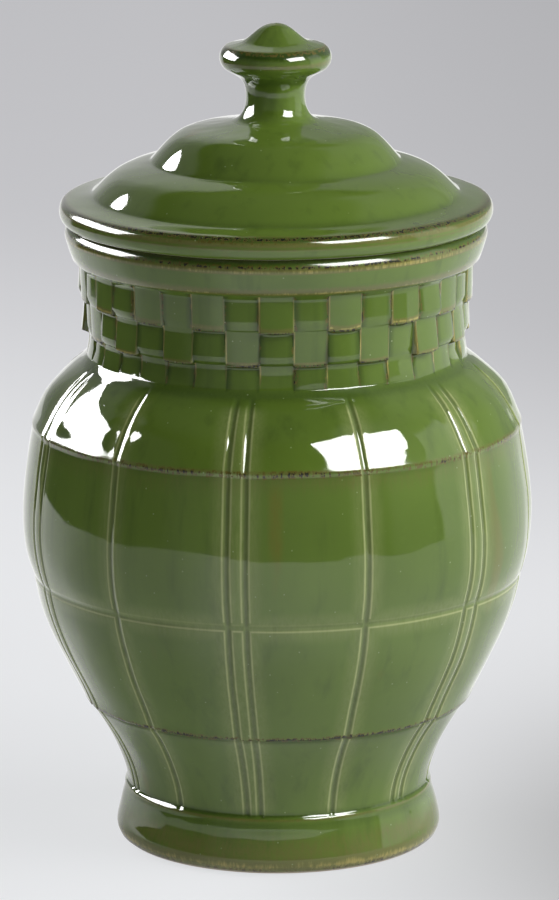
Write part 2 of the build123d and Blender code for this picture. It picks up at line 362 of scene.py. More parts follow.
def weave(angles, radius, height, shape):
    """Chequered cells: their relief, their thin, rusty and pooled glaze, and a painted shadow across the top
    of each sunk cell in the two lower rows, under the block above it. t goes from 0 at a cell's top to 1 at
    its foot and u from -1 to 1 across it. A raised block follows the neck over its top sixth and then flares
    evenly to a proud lower edge. A sunk cell flares to t = 0.8 and turns back in, and is rounded across,
    lowest at its two sides. Each cell has its own flare, turn and rise."""
    relief = np.zeros_like(radius + angles[None, :])
    thin, rust, pool_and_shade = np.zeros_like(relief), np.zeros_like(relief), np.zeros_like(relief)
    cell = np.floor(angles / WEAVE_COLUMN + 0.5) % WEAVE_CELLS
    off = (angles / WEAVE_COLUMN + 0.5) % 1.0 - 0.5
    for row, (low, high) in enumerate(zip(WEAVE_ROWS, WEAVE_ROWS[1:])):
        raised = ((cell + row) % 2 == 0)[None, :]
        slope, turn, rise = (scatter(cell, row, kind)[None, :] - 0.5 for kind in range(3))
        gap = (WEAVE_BLOCK / 2 - np.abs(off[None, :]) * WEAVE_COLUMN) * math.pi / 180.0 * radius
        u = off[None, :] * 2.0
        sag = (0.35 + 0.5 * rise) * (1.0 - u**2)
        up = height - low + np.where(raised, sag, 0.0)
        t = np.clip((high - height) / (high - low), 0.0, 1.0)
        flare = (shape.block_edge - shape.block_top) * (0.85 + 1.3 * slope)
        face = shape.block_top + flare * np.clip((t - BLOCK_FLAT) / (1.0 - BLOCK_FLAT), 0.0, 1.0)
        face = face - 0.3 * u**2 + 0.3 * turn * u
        block = face * ease(gap / 0.9 + 0.25) * (ease(up / 0.5 + 0.7) if row else ease(up / 5.0))
        swell = np.clip(t / 0.8, 0.0, 1.0) - 0.4 * np.clip((t - 0.74) / 0.26, 0.0, 1.0) ** 2
        sunk = (SUNK_FLARE + 1.7 * slope) * swell - SUNK_DEPTH - 0.45 * np.abs(u) ** 3 + 0.45 * turn * u
        sunk = sunk if row < 2 else sunk * ease((high - height) / 2.0)
        sunk = sunk if row else sunk * ease((height - low) / 5.0)
        band = (height >= low) & (height < high)
        reach = (up > -0.5 if row else up > -2.6) & (height < high)
        relief = np.where(band, np.where(raised, block, sunk), relief)
        relief = np.where(raised & reach & ~band, np.maximum(relief, block), relief)
        lower = bell((up - 0.15) / 0.6) * ease(gap / 0.8) * raised
        rust = np.maximum(rust, (lower if row else 0.25 * lower) * (1.05 + 0.4 * turn + 0.3 * rise))
        fringe = bell((up - 1.0) / 0.5) * ease(gap / 0.8) * raised * (row > 0) * (0.75 + 0.5 * turn)
        side = bell((gap - 0.25) / 0.55) * band * raised * np.where(u < 0, 1.1, 0.6) * (1.0 + 0.5 * slope)
        thin = most([thin, fringe, side * ease((height - low) / 6.0 + (row > 0))])
        # Deep green and brown along both sides of each sunk cell.
        valley = bell((1.0 - np.abs(u)) / 0.22) * band * ~raised
        pool_and_shade = np.maximum(pool_and_shade, 0.85 * valley)
        rust = np.maximum(rust, 0.62 * valley * (1.0 + turn))
        # Painted shadow: deep green and brown across the top of each sunk cell in the two lower rows, under
        # the proud edge of the block above.
        painted_block_shadow = bell((high - height - 0.6) / 0.8) * ~raised * band * (row < 2)
        pool_and_shade = np.maximum(pool_and_shade, painted_block_shadow)
        rust = np.maximum(rust, 0.6 * painted_block_shadow)
    return relief, thin, rust, pool_and_shade


def jar_outline():
    inner = [cubic(*s) for s in inset((WAIST, LOWER_BELLY, UPPER_BELLY, SHOULDER, NECK), WALL)]
    inner_low = inner[0][0]
    return Outline(
        [
            (0.0, FOOT_RECESS),
            (FOOT_INNER_R - FOOT_RECESS, FOOT_RECESS),
            (FOOT_INNER_R, 0.0),
            *(cubic(*s) for s in (FOOT_ARRIS, FOOT_SIDE, WAIST, LOWER_BELLY, UPPER_BELLY, SHOULDER, NECK)),
            *(cubic(*s) for s in (RIM_BAND, RIM_ROUND)),
            (MOUTH_R + MOUTH_LIP, RIM_Z),
            (MOUTH_R, RIM_Z - MOUTH_LIP),
            (MOUTH_R, NECK_TOP[1] + 2.0),
            *(part[::-1] for part in inner[::-1]),
            cubic(inner_low, (inner_low[0], FILLET_Z), (FILLET_R, FLOOR_Z), (FLOOR_R, FLOOR_Z)),
            (0.0, FLOOR_Z),
        ],
        melt=0.6,
    )


def neck_place(z):
    """A place near the neck's wall at a height."""
    return 66.0 + (z - 175.0) / 8.0, z


def jar_rows(outline, fine_rows):
    """Row places: closer at the ridges, the equator, the foot, the rim and the edges of the weave's rows."""
    edges = zip(WEAVE_ROWS, ((1.2, 0.7), (1.0, 2.6), (1.0, 2.6), (1.3, 1.9)))
    marks = [
        ((FOOT_BOTTOM_R, 0.0), 2.5, 0.5),
        (FOOT_BULGE, 3.0, 0.4),
        (FOOT_CREASE, 2.6, 1.2),
        (LOWER_RIDGE, 1.5, 2.2),
        ((67.8, 50.0), 1.6, 0.8),
        (EQUATOR, 1.8, 2.1),
        (SHOULDER_RIDGE, 1.5, 2.4),
        ((85.6, 155.5), 3.0, 0.5),
        ((67.6, 174.6), 2.2, 0.7),
        *((neck_place(z), *row) for z, row in edges),
        *((neck_place(z), 0.7, 1.5) for z in WEAVE_KINKS),
        (RIM_ARRIS, 2.4, 0.9),
        ((RIM_TOP_R, RIM_Z), 1.5, 0.8),
        ((MOUTH_R, RIM_Z - MOUTH_LIP), 1.2, 0.8),
    ]
    mouth = outline.at((MOUTH_R, NECK_TOP[1] + 4.0))
    hidden = [(0.0, outline.at((FOOT_INNER_R - 4.0, 1.0))), (mouth, outline.s[-1])]
    return outline.rows(marks, hidden, fine_rows, 0.085)


class JarWall:
    """The jar's grid, with each point's distance from the lines, the ring and the two ridges. A distance
    along the wall is above 0 over the ring or ridge. The ridges waver by up to a third of a millimetre."""

    def __init__(self, outline, places):
        self.outline = outline
        self.s = places[:, None]
        self.r, self.z, self.nr, self.nz = outline.sample(places)
        self.angles = jar_columns()
        self.apart = incised(self.angles, self.r, self.z[:, 0])
        self.ring = self.s - outline.at(EQUATOR)
        self.shoulder = self.s - outline.at(SHOULDER_RIDGE)
        self.lower = self.s - outline.at(LOWER_RIDGE)
        waver = 0.35 * wobble(self.angles, 0.0 * self.z + 151.0, 1.0, 2.1)
        self.above = self.shoulder + waver
        self.above_low = self.lower + waver
        self.below_rim = self.s < outline.at((RIM_TOP_R, RIM_Z))
        self.band = ease((self.z - 174.0) / 1.5) * ease((212.6 - self.z) / 1.2)


def incised_relief(wall):
    """Rise for a line depth of 1, depth of lines and ring, and depth of the ring alone. Each is a bell-shaped
    groove with a burr at both sides, but the ring has one only at its lower side."""
    run = ease((wall.z - LINE_FOOT) / 2.2) * ease((LINE_TOP + 0.8 - wall.z) / 2.4)
    lines = bell(wall.apart / LINE_HALF_WIDTH) * run
    ring = 0.6 * bell(wall.ring / 0.85)
    cut = np.maximum(lines, ring)
    burr = bell((wall.apart - 1.5) / 0.5) * run * (1 - bell(wall.ring / 1.4))
    burr = np.maximum(burr, bell((wall.ring + 1.7) / 0.6) * (1 - bell(wall.apart / 1.6)))
    return 0.2 * burr * (1 - cut) - cut, cut, ring


def panel_relief(wall, shape):
    """Swell of each panel away from its lines, ring and ridges, with more of it above the shoulder ridge."""
    z = wall.z
    edges = (wall.ring, wall.shoulder, wall.lower, z - FOOT_CREASE[1])
    rings = reduce(np.minimum, [np.abs(x) for x in edges])
    belly = ease((z - 20.0) / 6.0) * ease((172.0 - z) / 10.0)
    panels = shape.panel_swell * (1 - bell(wall.apart / 7.0)) * (1 - bell(rings / 7.0)) * belly
    return panels + shape.shoulder_swell * bell((z - 163.0) / 6.5) * ease(wall.apart / 18.0)


def ridge_relief(wall):
    """A lip that fades away over each ridge, with a hollow or, at the lower ridge, a step below it."""
    above, above_low = wall.above, wall.above_low
    lip = np.where(above > 0, fading(above, 0.42, 3.2), fading(above, -0.38, 2.6))
    step = -1.15 * np.clip(1.0 + (above_low + 0.1) / 1.25, 0.0, 1.0)
    lip_low = np.where(above_low > 0, fading(above_low, 0.35, 2.6), step)
    relief = lip * (np.abs(wall.shoulder) < 24) * np.tanh(np.abs(above) / 0.9)
    return relief + lip_low * (np.abs(wall.lower) < 16) * np.tanh(np.abs(above_low) / 0.2)


def foot_relief(wall):
    """A lip and a groove all round at the crease, and a roll and a hollow that fade away from the front."""
    roll = bell(turned_from(wall.angles, -4.0) / 30.0) * ring_bell(wall.z, *FOOT_ROLL)
    hollow = bell(turned_from(wall.angles, -20.0) / 60.0) * ring_bell(wall.z, *FOOT_HOLLOW)
    return roll + hollow + ring_bell(wall.z, *FOOT_LIP) + ring_bell(wall.z, *FOOT_GROOVE)


def jar_maps(wall, woven, cut, ring_cut):
    """Where the glaze is thin, rusty or pooled, where shade is painted on the rim under the lid, under the
    lower ridge and under the weave's blocks, and where the clay is bare.
    """
    z, above, above_low = wall.z, wall.above, wall.above_low
    thin, rust, pool_and_shade = ([strength * wall.band] for strength in woven)
    thin += rings_at(z, THIN_RINGS) + rings_at(above, THIN_SHOULDER) + rings_at(above_low, THIN_LOWER)
    rust += rings_at(z, RUST_RINGS) + rings_at(above, RUST_SHOULDER) + rings_at(above_low, RUST_LOWER)
    pool_and_shade += rings_at(z, POOL_AND_SHADE_RINGS)
    pool_and_shade.append(0.8 * (cut - ring_cut))
    # Painted shade: deep green in the step under the lower ridge.
    pool_and_shade.append(np.where(above_low < -0.5, fading(above_low + 0.5, 0.8, 1.6), 0.0))
    pool_and_shade.append(np.where(above < -0.6, fading(above + 0.6, 0.45, 1.4), 0.0))
    shown = (wall.s > wall.outline.at((FOOT_BOTTOM_R, 0.0))) & wall.below_rim
    bare = wall.s < wall.outline.at((FOOT_BOTTOM_R + 1.6, 0.35))
    patchy = wobble(wall.angles, z * 3.0, 1.0, 1.3)
    return {
        "thin": np.clip(most(thin) * shown * (1 + 0.25 * patchy), 0, 1),
        "rust": np.clip(most(rust) * shown * (1 + 0.4 * patchy), 0, 1),
        "pool_and_shade": np.clip(most(pool_and_shade) * shown, 0, 1),
        "bare": bare.astype(float),
    }


def build_jar(shape):
    outline = jar_outline()
    wall = JarWall(outline, jar_rows(outline, shape.fine_rows))
    z = wall.z
    lines, cut, ring_cut = incised_relief(wall)
    woven, *woven_glaze = weave(wall.angles, wall.r, z, shape)
    uneven = wobble(wall.angles, z, 1.0, 0.7) * ease((z - 4.0) / 10.0) * ease((176.0 - z) / 8.0)
    relief = shape.line_depth * lines + panel_relief(wall, shape) + ridge_relief(wall) + foot_relief(wall)
    relief = relief + 0.9 * bell((wall.s - outline.at(NECK_BASE)) / 2.4)
    relief = relief + shape.unevenness * uneven + woven * wall.band
    relief = relief * ease((z - 2.0) / 3.0) * wall.below_rim
    radius, height = wall.r + relief * wall.nr, z + relief * wall.nz
    maps = jar_maps(wall, woven_glaze, cut, ring_cut)
    piece = turned_skin("jar_body_glazed", radius, height, wall.angles, maps)
    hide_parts("jar_body")
    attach(piece, "jar")
    return piece


def build_lid(shape):
    inner = [cubic(*s) for s in inset((LOWER_DOME, UPPER_DOME), LID_WALL)]
    ceiling = inner[-1][-1][1]
    outline = Outline(
        [
            (0.0, ceiling),
            *(part[::-1] for part in inner[::-1]),
            (SKIRT_INNER_R, RIM_Z),
            (SKIRT_INNER_R, SKIRT_Z),
            (SKIRT_R, SKIRT_Z),
            (SKIRT_R, RIM_Z),
            *(cubic(*s) for s in (FLANGE_BELOW, FLANGE_ROUND, FLANGE_TOP, LOWER_DOME, UPPER_DOME)),
            (0.0, LUTE_Z),
        ],
        melt=0.6,
    )
    marks = [
        ((SKIRT_R, SKIRT_Z), 1.5, 0.8),
        ((SKIRT_INNER_R, SKIRT_Z), 1.5, 0.8),
        (FLANGE_UNDER, 1.6, 1.2),
        (FLANGE_EDGE, 2.0, 1.0),
        (FLANGE_ARRIS, 2.0, 1.6),
        (FLANGE_CREASE, 2.5, 1.4),
        (DOME_CREASE, 2.5, 1.2),
    ]
    places = outline.rows(marks, [(0.0, outline.at((SKIRT_INNER_R, RIM_Z)))], 0.8, 0.2)
    r, z, nr, nz = outline.sample(places)
    s = places[:, None]
    angles = np.arange(LID_COLUMNS) * 360.0 / LID_COLUMNS
    visible = (places > outline.at((SKIRT_R, RIM_Z)))[:, None]
    dome = visible * ease((r - 14.0) / 8.0)
    relief = shape.unevenness * 0.5 * wobble(angles, r * 1.5, 1.0, 1.9) * dome
    arris = s - outline.at(FLANGE_ARRIS) + 0.25 * wobble(angles, z * 0.0, 1.0, 0.4)
    edge = s - outline.at(FLANGE_EDGE)
    under = s - outline.at(FLANGE_UNDER)
    creases = 0.35 * bell((s - outline.at(FLANGE_CREASE)) / 1.6)
    creases = creases + 0.25 * bell((s - outline.at(DOME_CREASE)) / 1.8)
    thin = [*rings_at(edge, ((0.62, 1.8, 1.0), (0.40, 0.0, 0.6))), 0.5 * bell((arris - 0.6) / 0.4)]
    rust = [bell((arris + 1.3) / 1.4), 0.5 * bell((edge - 2.0) / 0.8), 0.3 * bell((under - 1.5) / 1.5)]
    maps = {
        "thin": most(thin) * visible,
        "rust": most(rust) * visible,
        "pool_and_shade": most([bell((arris + 1.5) / 1.6), creases]) * visible,
        "bare": np.where((z < RIM_Z + 0.25) & (under < 1.0), 1.0, 0.0),
    }
    piece = turned_skin("lid_glazed", r + relief * nr, z + relief * nz, angles, maps)
    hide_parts("lid")
    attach(piece, "lid")
    return piece


def build_knob(shape):
    bottom = LUTE_Z - 1.0
    outline = Outline(
        [
            (0.0, bottom),
            (KNOB_FOOT[0] + 0.4, bottom),
            *(cubic(*s) for s in (STEM, DISC_UNDER, DISC_EDGE, DISC_TOP, CONE)),
        ],
        melt=0.45,
    )
    marks = [
        (KNOB_FOOT, 1.2, 1.5),
        (STEM_TOP, 2.0, 1.0),
        (DISC_LOW, 1.5, 1.5),
        (DISC_HIGH, 1.5, 1.8),
        (CONE_BASE, 1.5, 1.2),
    ]
    places = outline.rows(marks, [(0.0, outline.at((KNOB_FOOT[0] - 1.0, bottom)))], 1.3, 0.3)
    r, z, nr, nz = outline.sample(places)
    s = places[:, None]
    angles = np.arange(KNOB_COLUMNS) * 360.0 / KNOB_COLUMNS
    loose = ease((z - LUTE_Z) / 3.0) * ease((r - 2.0) / 4.0)
    relief = shape.unevenness * 0.45 * wobble(angles, z * 1.7, 1.0, 0.2) * loose
    high = s - outline.at(DISC_HIGH) + 0.2 * wobble(angles, z * 0.0, 1.0, 1.1)
    low = s - outline.at(DISC_LOW)
    tip = 0.3 * bell(z - KNOB_TIP[1])
    maps = {
        "thin": most([0.4 * bell((low - 1.5) / 1.3), tip, 0.5 * bell((high - 0.6) / 0.4)]),
        "rust": most(rings_at(high, ((0.8, 0.0, 0.5), (0.65, -0.8, 1.1)))),
        "pool_and_shade": most([1.3 * bell((high + 1.4) / 1.8), 0.5 * bell((z - 275.0) / 1.6) * (r < 15)]),
        "bare": 0.0 * z,
    }
    piece = turned_skin("knob_glazed", r + relief * nr, z + relief * nz, angles, maps)
    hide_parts("knob")
    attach(piece, "lid")
    return piece


# Materials


class Value:
    """A node's output that takes part in sums: each operation adds a Math node."""

    def __init__(self, bench, output):
        self.bench, self.output = bench, output

    def __add__(self, other):
        return self.bench.math("ADD", self, other)

    def __sub__(self, other):
        return self.bench.math("SUBTRACT", self, other)

    def __rsub__(self, other):
        return self.bench.math("SUBTRACT", other, self)

    def __mul__(self, other):
        return self.bench.math("MULTIPLY", self, other)

    def __truediv__(self, other):
        return self.bench.math("DIVIDE", self, other)

    def __abs__(self):
        return self.bench.math("ABSOLUTE", self)

    __radd__ = __add__
    __rmul__ = __mul__


class Bench:
    """A node tree and the few ways in which nodes are added to it."""

    def __init__(self, tree):
        self.tree = tree
        tree.nodes.clear()

    def node(self, kind, settings=None, sockets=None, out=0):
        """Adds a node: its settings first, then the values or links of its sockets by name or number."""
        made = self.tree.nodes.new(kind)
        for key, value in (settings or {}).items():
            setattr(made, key, value)
        for key, value in (sockets or {}).items():
            if isinstance(value, Value):
                self.tree.links.new(value.output, made.inputs[key])
            else:
                made.inputs[key].default_value = value
        return Value(self, made.outputs[out]) if made.outputs else made

    def math(self, operation, *values):
        return self.node("ShaderNodeMath", {"operation": operation}, dict(enumerate(values)))

    def blend(self, factor, first, second):
        """Colour between the first and the second, which are values or plain colours, by the factor."""
        first, second = (c if isinstance(c, Value) else (*c, 1.0) for c in (first, second))
        return self.node("ShaderNodeMix", {"data_type": "RGBA"}, {0: factor, 6: first, 7: second}, out=2)

    def between(self, value, low, high):
        """0 below low, 1 above high, smooth between them."""
        sockets = {"Value": value, "From Min": low, "From Max": high}
        return self.node("ShaderNodeMapRange", {"interpolation_type": "SMOOTHSTEP"}, sockets)

    def noise(self, place, scale, detail=2.0, rough=0.5):
        sockets = {"Vector": place, "Scale": scale, "Detail": detail, "Roughness": rough}
        return self.node("ShaderNodeTexNoise", {}, sockets)

    def stretched(self, place, scale, shift=(0.0, 0.0, 0.0)):
        return self.node("ShaderNodeMapping", {}, {"Vector": place, "Scale": scale, "Location": shift})

    def parts(self, vector):
        """The three parts of a vector."""
        return [self.node("ShaderNodeSeparateXYZ", {}, {0: vector}, out=k) for k in range(3)]

    def mark(self, name):
        """A point attribute of the mesh."""
        return self.node("ShaderNodeAttribute", {"attribute_name": name}, out=2)


# Colour of the lines, in metres: the burr's distance from its line and its spread, where the halo fades, and
# the heights between which the colours and the front's brown stain start at the foot and stop at the head.
# The stain's angle and half width are in degrees.
BURR_APART = 0.0014
BURR_SPREAD = 0.0006
HALO_FADES = (0.0015, 0.0075)
RUN_FOOT = (0.020, 0.024)
RUN_HEAD = (0.170, 0.1735)
DRIP_ANGLE = -0.4
DRIP_FADES = (0.3, 2.4)
DRIP_FOOT = (0.117, 0.130)
DRIP_HEAD = (0.144, 0.151)


def line_burr(bench, place):
    """Raised edges of the incised lines, 1 where the distance to the nearest line is near BURR_APART, a wide
    halo round the lines, and one upright brown stain at the front. The distance is the angle to the line,
    wrapped to its repeat, times the radius, or the height from the ring, whose upper edge is nearly bare."""
    x, y, z = bench.parts(place)
    degrees = bench.math("ARCTAN2", x, 0.0 - y) * (180.0 / math.pi)
    repeat = 180.0 / LINE_TURNS
    belly_z = EQUATOR[1] / 1000.0
    gap = HALF_GAP + WAIST_GAP * (1 - bench.between(z, belly_z - GAP_OPENS / 1000.0, belly_z))
    single = abs(bench.math("WRAP", degrees - SINGLE_LINE, repeat, -repeat))
    double = abs(abs(bench.math("WRAP", degrees - DOUBLE_LINE, repeat, -repeat)) - gap)
    apart = bench.math("MINIMUM", single, double) * bench.math("SQRT", x * x + y * y) * (math.pi / 180.0)
    over = z - belly_z
    apart = bench.math("MINIMUM", apart, abs(over) + 0.0002)
    run = bench.between(z, *RUN_FOOT) * (1 - bench.between(z, *RUN_HEAD))
    halo = (1 - bench.between(apart, *HALO_FADES)) * run
    drip = (1 - bench.between(abs(degrees - DRIP_ANGLE), *DRIP_FADES)) * bench.between(z, *DRIP_FOOT)
    drip = drip * (1 - bench.between(z, *DRIP_HEAD))
    shaded = bench.between(over, 0.0003, 0.0008) * (1 - bench.between(over, 0.0019, 0.0024))
    burr = (1 - bench.between(abs(apart - BURR_APART), 0.0, BURR_SPREAD)) * run
    return burr * (1 - 0.75 * shaded), halo, drip


# Sizes of the glaze's patterns, in cells per metre, the scales that draw upright ones out in height, the
# place of the stains, and the glaze's refraction and the depth of its dimples in metres.
CLOUDS = 14.0
STAINS = 62.0
STREAKS = 120.0
DIMPLES = 260.0
PINHOLES = 400.0
GRAINS = 420.0
THREADS = 900.0
UPRIGHT_FLECKS = 1000.0
ROUND_FLECKS = 650.0
STREAK_SCALE = (1.0, 1.0, 0.10)
FEATHER_SCALE = (1.0, 1.0, 0.12)
STAIN_SCALE = (1.0, 1.0, 0.16)
STAIN_SHIFT = (0.31, 0.2, 0.1)
REFRACTION = 1.53
DIMPLE_DEPTH = 0.00006


def pinholes(bench, place):
    """1 inside the small round dots in a tenth of the cells."""
    dots = {"Vector": place, "Scale": PINHOLES}
    cells = bench.node("ShaderNodeTexVoronoi", {"feature": "F1"}, dots)
    chosen = bench.node("ShaderNodeTexVoronoi", {"feature": "F1"}, dots, out=1)
    chosen = bench.node("ShaderNodeSeparateColor", {}, {0: chosen})
    return (1 - bench.between(cells, 0.06, 0.15)) * bench.between(chosen, 0.90, 0.92)


def glaze(name, colours, shift, painted_light=0.0, lined=False):
    """Transparent green glaze over stoneware: deep where it pools and where shade is painted, olive and tan
    where it runs thin, with brown and dark iron flecks at the edges. The painted light level turns more of
    the green to leaf green, for the paler up-facing lid and knob; shift moves the pattern, and lined adds the
    colours of the jar's incised lines."""
    material = bpy.data.materials.new(name)
    material.use_nodes = True
    bench = Bench(material.node_tree)
    place = bench.node("ShaderNodeTexCoord", out=3)
    local = bench.stretched(place, (1.0, 1.0, 1.0), shift)
    upright = bench.stretched(place, STREAK_SCALE, shift)
    feather = bench.stretched(place, FEATHER_SCALE, shift)
    thin, rust, pool_and_shade, bare = (bench.mark(key) for key in ("thin", "rust", "pool_and_shade", "bare"))

    clouds = bench.noise(local, CLOUDS, 2.0)
    streaks = bench.noise(upright, STREAKS, 3.0, 0.6)
    grains = bench.noise(local, GRAINS, 3.0, 0.6)
    threads = bench.noise(feather, THREADS, 3.0, 0.65)

    # Painted light: the lid and knob lower these bounds to turn more of their green to leaf green.
    cloudy = bench.between(clouds, 0.35 - painted_light, 0.65 - painted_light)
    body = bench.blend(cloudy, colours.green, colours.leaf)
    body = bench.blend(0.38 * bench.between(streaks, 0.50, 0.80), body, colours.deep_and_shade)
    body = bench.blend(0.30 * bench.between(grains, 0.50, 0.8), body, colours.leaf)
    rusty = bench.stretched(place, STAIN_SCALE, STAIN_SHIFT)
    stain = bench.between(bench.noise(rusty, STAINS, 2.0), 0.66, 0.80)
    body = bench.blend(0.5 * stain, body, colours.stain)
    # Deep green where the glaze has pooled, and painted shade on the rim under the lid, under the lower ridge
    # and under the weave's blocks.
    body = bench.blend(pool_and_shade * (0.5 + 0.9 * threads), body, colours.deep_and_shade)

    worn = thin * (0.35 + 1.3 * threads)
    if lined:
        burr, halo, drip = line_burr(bench, place)
        body = bench.blend(0.55 * drip * threads, body, colours.drip)
        body = bench.blend(0.45 * halo * threads, body, colours.burr)
        body = bench.blend(burr * (0.6 + 0.7 * threads), body, colours.burr)
    body = bench.blend(bench.between(worn, 0.12, 0.50), body, colours.olive)
    body = bench.blend(bench.between(worn, 0.55, 0.95), body, colours.tan)
    flecks = 0.5 * bench.noise(feather, UPRIGHT_FLECKS, 2.0, 0.7)
    flecks = flecks + 0.5 * bench.noise(local, ROUND_FLECKS, 2.0, 0.7)
    burnt = rust * (0.40 + 0.95 * bench.between(flecks, 0.42, 0.58))
    body = bench.blend(bench.between(burnt, 0.42, 0.72), body, colours.brown)
    body = bench.blend(bench.between(burnt, 0.80, 1.05), body, colours.iron)

    pinhole = pinholes(bench, local)
    body = bench.blend(pinhole * 0.6, body, colours.speck)
    clay = bench.blend(grains, colours.clay, colours.clay_dark)
    body = bench.blend(bare, body, clay)

    roughness = 0.04 + 0.03 * bench.between(grains, 0.4, 0.8) + 0.15 * rust + 0.65 * bare
    relief = bench.noise(local, DIMPLES, 2.0) * 0.5 + bench.noise(local, THREADS, 2.0) * 0.10
    relief = relief + 0.5 * pinhole + 0.45 * rust * threads
    normal = bench.node("ShaderNodeBump", {}, {"Strength": 0.35, "Distance": DIMPLE_DEPTH, "Height": relief})
    sockets = {"Base Color": body, "Roughness": roughness, "Normal": normal, "IOR": REFRACTION}
    shader = bench.node("ShaderNodeBsdfPrincipled", {}, sockets)
    bench.node("ShaderNodeOutputMaterial", {}, {"Surface": shader})
    return material


# Stage

# Walls of the room: from one azimuth to the next, blur of the ends, sine of the top's elevation and
# brightness. A brightness below 0 darkens the foot of the wall it stands in.
ROOM = (
    (-183.0, -158.0, 5.0, 0.71, 0.75),
    (-158.0, -147.0, 3.0, 0.71, 0.42),
    (-147.0, -100.0, 3.0, 0.71, 0.35),
    (-138.0, -100.0, 3.0, 0.30, -0.29),
    (-100.0, -50.0, 8.0, 0.64, 0.10),
    (-50.0, 50.0, 8.0, 0.40, 0.22),
    (50.0, 78.0, 6.0, 0.87, 0.40),
    (78.0, 110.0, 1.5, 0.57, 0.98),
    (78.0, 110.0, 1.5, 0.88, 0.30),
    (110.0, 150.0, 6.0, 0.88, 0.40),
    (150.0, 183.0, 3.0, 0.71, 0.38),
)
# Lamps: name, azimuth, elevation, distance, width and height, setting of its level, and whether only the
# glaze sees it.
LAMPS = (
    ("lamp_side", 80.0, 24.0, 1.6, (1.4, 1.0), "side_lamp", False),
    ("lamp_right", 47.0, 40.0, 1.5, (0.9, 0.7), "right_lamp", False),
    ("lamp_left", -120.0, 35.0, 1.5, (0.8, 0.7), "left_lamp", False),
    ("panel_right", 46.0, 37.0, 1.2, (0.70, 0.52), "panel_level", True),
    ("panel_left", -112.0, 22.0, 1.1, (0.92, 0.52), "panel_level", True),
)
LAMPS_FACE = (0.0, 0.0, 0.17)
WALL_BLUR = 0.04
CEILING_STARTS = (0.7, 0.9)
CEILING_LEVEL = 0.09
BACKDROP_LEVEL = 0.60

# Table: reach of the sheet, radius of the table in the glaze, greys of the paper's painted shadow, painted
# shade and grain, place and spread of its painted shadow, and the way from the jar in which it is dimmer in
# the glaze
SHEET_REACH = 9.0
TABLE_R = 0.93
SHADOW_GREY = (0.5, 0.5, 0.51)
RIGHT_SHADE_GREY = (0.3, 0.3, 0.31)
GRAIN_GREY = (0.5, 0.5, 0.52)
SHADOW_PLACE = (0.15, -0.02)
SHADOW_SPREAD = (0.10, 0.20)
DIM_WAY = (-0.906, -0.423)

# Camera: place in metres, turns in degrees, focal length in pixels of a frame this high, and sensor in mm
VIEW_PLACE = (0.0, -2.0109, 0.6133)
VIEW_PITCH = 13.227
VIEW_YAW = 0.026
VIEW_ROLL = -0.22
FOCAL_PIXELS = 5787.3
FRAME_HEIGHT = 900
SENSOR = 36.0


def build_camera():
    """Camera whose axes are set from yaw, pitch and roll about its line of sight."""
    yaw, pitch, roll = (math.radians(x) for x in (VIEW_YAW, VIEW_PITCH, VIEW_ROLL))
    ahead = Vector((math.sin(yaw) * math.cos(pitch), math.cos(yaw) * math.cos(pitch), -math.sin(pitch)))
    right = Vector((math.cos(yaw), -math.sin(yaw), 0.0))
    up = right.cross(ahead)
    across = math.cos(roll) * right + math.sin(roll) * up
    upward = math.cos(roll) * up - math.sin(roll) * right
    data = bpy.data.cameras.new("view")
    data.sensor_width = SENSOR
    data.lens = FOCAL_PIXELS * SENSOR / FRAME_HEIGHT
    data.clip_end = 50.0
    camera = bpy.data.objects.new("view", data)
    turn = Matrix((across, upward, -ahead)).transposed().to_4x4()
    camera.matrix_world = Matrix.Translation(VIEW_PLACE) @ turn
    bpy.context.scene.collection.objects.link(camera)
    bpy.context.scene.camera = camera


def toward(azimuth, elevation, distance, centre):
    """Place at a distance from the centre. Azimuth 0 is in front of the jar and 90 on its right."""
    a, e = math.radians(azimuth), math.radians(elevation)
    way = Vector((math.sin(a) * math.cos(e), -math.cos(a) * math.cos(e), math.sin(e)))
    return centre + distance * way


def lamp(name, azimuth, elevation, distance, size, level, gloss):
    """Area lamp that faces the jar. A diffuse lamp of level 1 lights a facing surface to its own colour; a
    gloss lamp of level L is seen in the glaze as a panel of brightness L."""
    data = bpy.data.lights.new(name, "AREA")
    data.shape = "RECTANGLE"
    data.size, data.size_y = size
    data.energy = level * math.pi * size[0] * size[1] if gloss else level * (math.pi * distance) ** 2
    lit = bpy.data.objects.new(name, data)
    centre = Vector(LAMPS_FACE)
    lit.location = toward(azimuth, elevation, distance, centre)
    lit.rotation_mode = "QUATERNION"
    lit.rotation_quaternion = (centre - lit.location).to_track_quat("-Z", "Y")
    lit.visible_camera = False
    lit.visible_diffuse = not gloss
    lit.visible_glossy = gloss
    lit.visible_transmission = False
    bpy.context.scene.collection.objects.link(lit)


def room_level(bench, ahead, across, up):
    """Brightness of the room that the glaze sees in a direction. Each stretch of the wall has its own level
    up to its own height, and the last few degrees of a stretch run into the next."""
    around = bench.math("ARCTAN2", across, 0.0 - ahead) * (180.0 / math.pi)
    level = 0.0
    for start, end, blur, top, bright in ROOM:
        past_end = bench.between(around, end - blur, end + blur)
        inside = bench.between(around, start - blur, start + blur) * (1 - past_end)
        level = level + bright * inside * (1 - bench.between(up, top - WALL_BLUR, top + WALL_BLUR))
    return level + CEILING_LEVEL * bench.between(up, *CEILING_STARTS)


def glowing(bench, colour):
    """A dark surface that gives off a colour."""
    sockets = {"Base Color": (0.0, 0.0, 0.0, 1.0), "Specular IOR Level": 0.0}
    sockets.update({"Emission Color": colour, "Emission Strength": 1.0})
    return bench.node("ShaderNodeBsdfPrincipled", {}, sockets)


